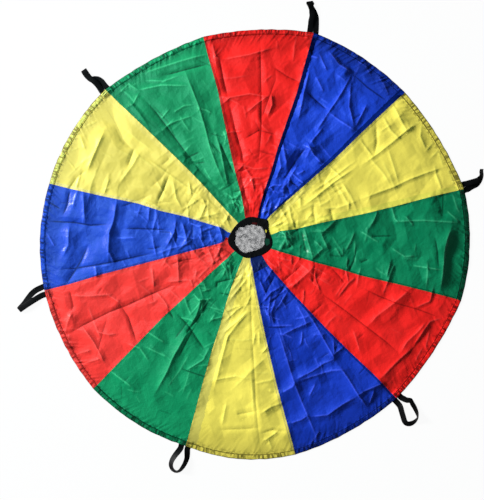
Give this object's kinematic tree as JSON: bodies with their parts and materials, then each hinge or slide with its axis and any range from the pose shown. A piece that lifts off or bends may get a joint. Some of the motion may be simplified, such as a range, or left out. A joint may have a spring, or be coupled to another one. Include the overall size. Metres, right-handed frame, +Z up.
{
  "type": "play parachute",
  "caption": "Round children's play parachute of coloured cloth panels with a netted vent and webbing hand loops, spread out flat.",
  "frame": {"origin": "on the floor, under the middle of the vent", "axes": "+Z up from the floor; +Y towards 12 o'clock and +X towards 3 o'clock as the parachute is seen from above"},
  "size_m": [1.9955, 2.0256, 0.0228],
  "materials": {
    "red_cloth": "satin",
    "blue_cloth": "satin",
    "yellow_cloth": "satin",
    "green_cloth": "satin",
    "vent_tape": "matte",
    "vent_net": "matte",
    "loop_webbing": "matte"
  },
  "bodies": {
    "left_half": {"panel_06_yellow": "yellow_cloth", "panel_07_green": "green_cloth", "panel_08_red": "red_cloth", "panel_09_blue": "blue_cloth", "panel_10_yellow": "yellow_cloth", "panel_11_green": "green_cloth", "vent_tape_under": "vent_tape", "vent_tape_top": "vent_tape", "vent_net": "vent_net"},
    "right_half": {"panel_12_red": "red_cloth", "panel_01_blue": "blue_cloth", "panel_02_yellow": "yellow_cloth", "panel_03_green": "green_cloth", "panel_04_red": "red_cloth", "panel_05_blue": "blue_cloth"},
    "loop_01": {"hand_loop_01": "loop_webbing"},
    "loop_03": {"hand_loop_03": "loop_webbing"},
    "loop_05": {"hand_loop_05": "loop_webbing"},
    "loop_07": {"hand_loop_07": "loop_webbing"},
    "loop_09": {"hand_loop_09": "loop_webbing"},
    "loop_11": {"hand_loop_11": "loop_webbing"}
  },
  "joints": [
    {"name": "fold_in_half", "type": "hinge", "parent": "left_half", "child": "right_half", "pos_m": [0, 0, 0.012], "axis": [0.2164, -0.9763, 0], "range_deg": [0, 160], "deforming": ["vent_tape_under", "vent_tape_top", "vent_net"]},
    {"name": "loop_01_swing", "type": "hinge", "parent": "right_half", "child": "loop_01", "pos_m": [0.26895, 0.87969, 0.0033], "axis": [0.9563, -0.2924, 0], "range_deg": [0, 150]},
    {"name": "loop_03_swing", "type": "hinge", "parent": "right_half", "child": "loop_03", "pos_m": [0.91591, 0.21145, 0.0033], "axis": [0.225, -0.9744, 0], "range_deg": [0, 150]},
    {"name": "loop_05_swing", "type": "hinge", "parent": "right_half", "child": "loop_05", "pos_m": [0.62827, -0.68563, 0.0033], "axis": [-0.7373, -0.6756, 0], "range_deg": [0, 150]},
    {"name": "loop_07_swing", "type": "hinge", "parent": "left_half", "child": "loop_07", "pos_m": [-0.27243, -0.89106, 0.0033], "axis": [-0.9563, 0.2924, 0], "range_deg": [0, 150]},
    {"name": "loop_09_swing", "type": "hinge", "parent": "left_half", "child": "loop_09", "pos_m": [-0.88103, -0.21966, 0.0033], "axis": [-0.2419, 0.9703, 0], "range_deg": [0, 150]},
    {"name": "loop_11_swing", "type": "hinge", "parent": "left_half", "child": "loop_11", "pos_m": [-0.61615, 0.63804, 0.0033], "axis": [0.7193, 0.6947, 0], "range_deg": [0, 150]}
  ]
}
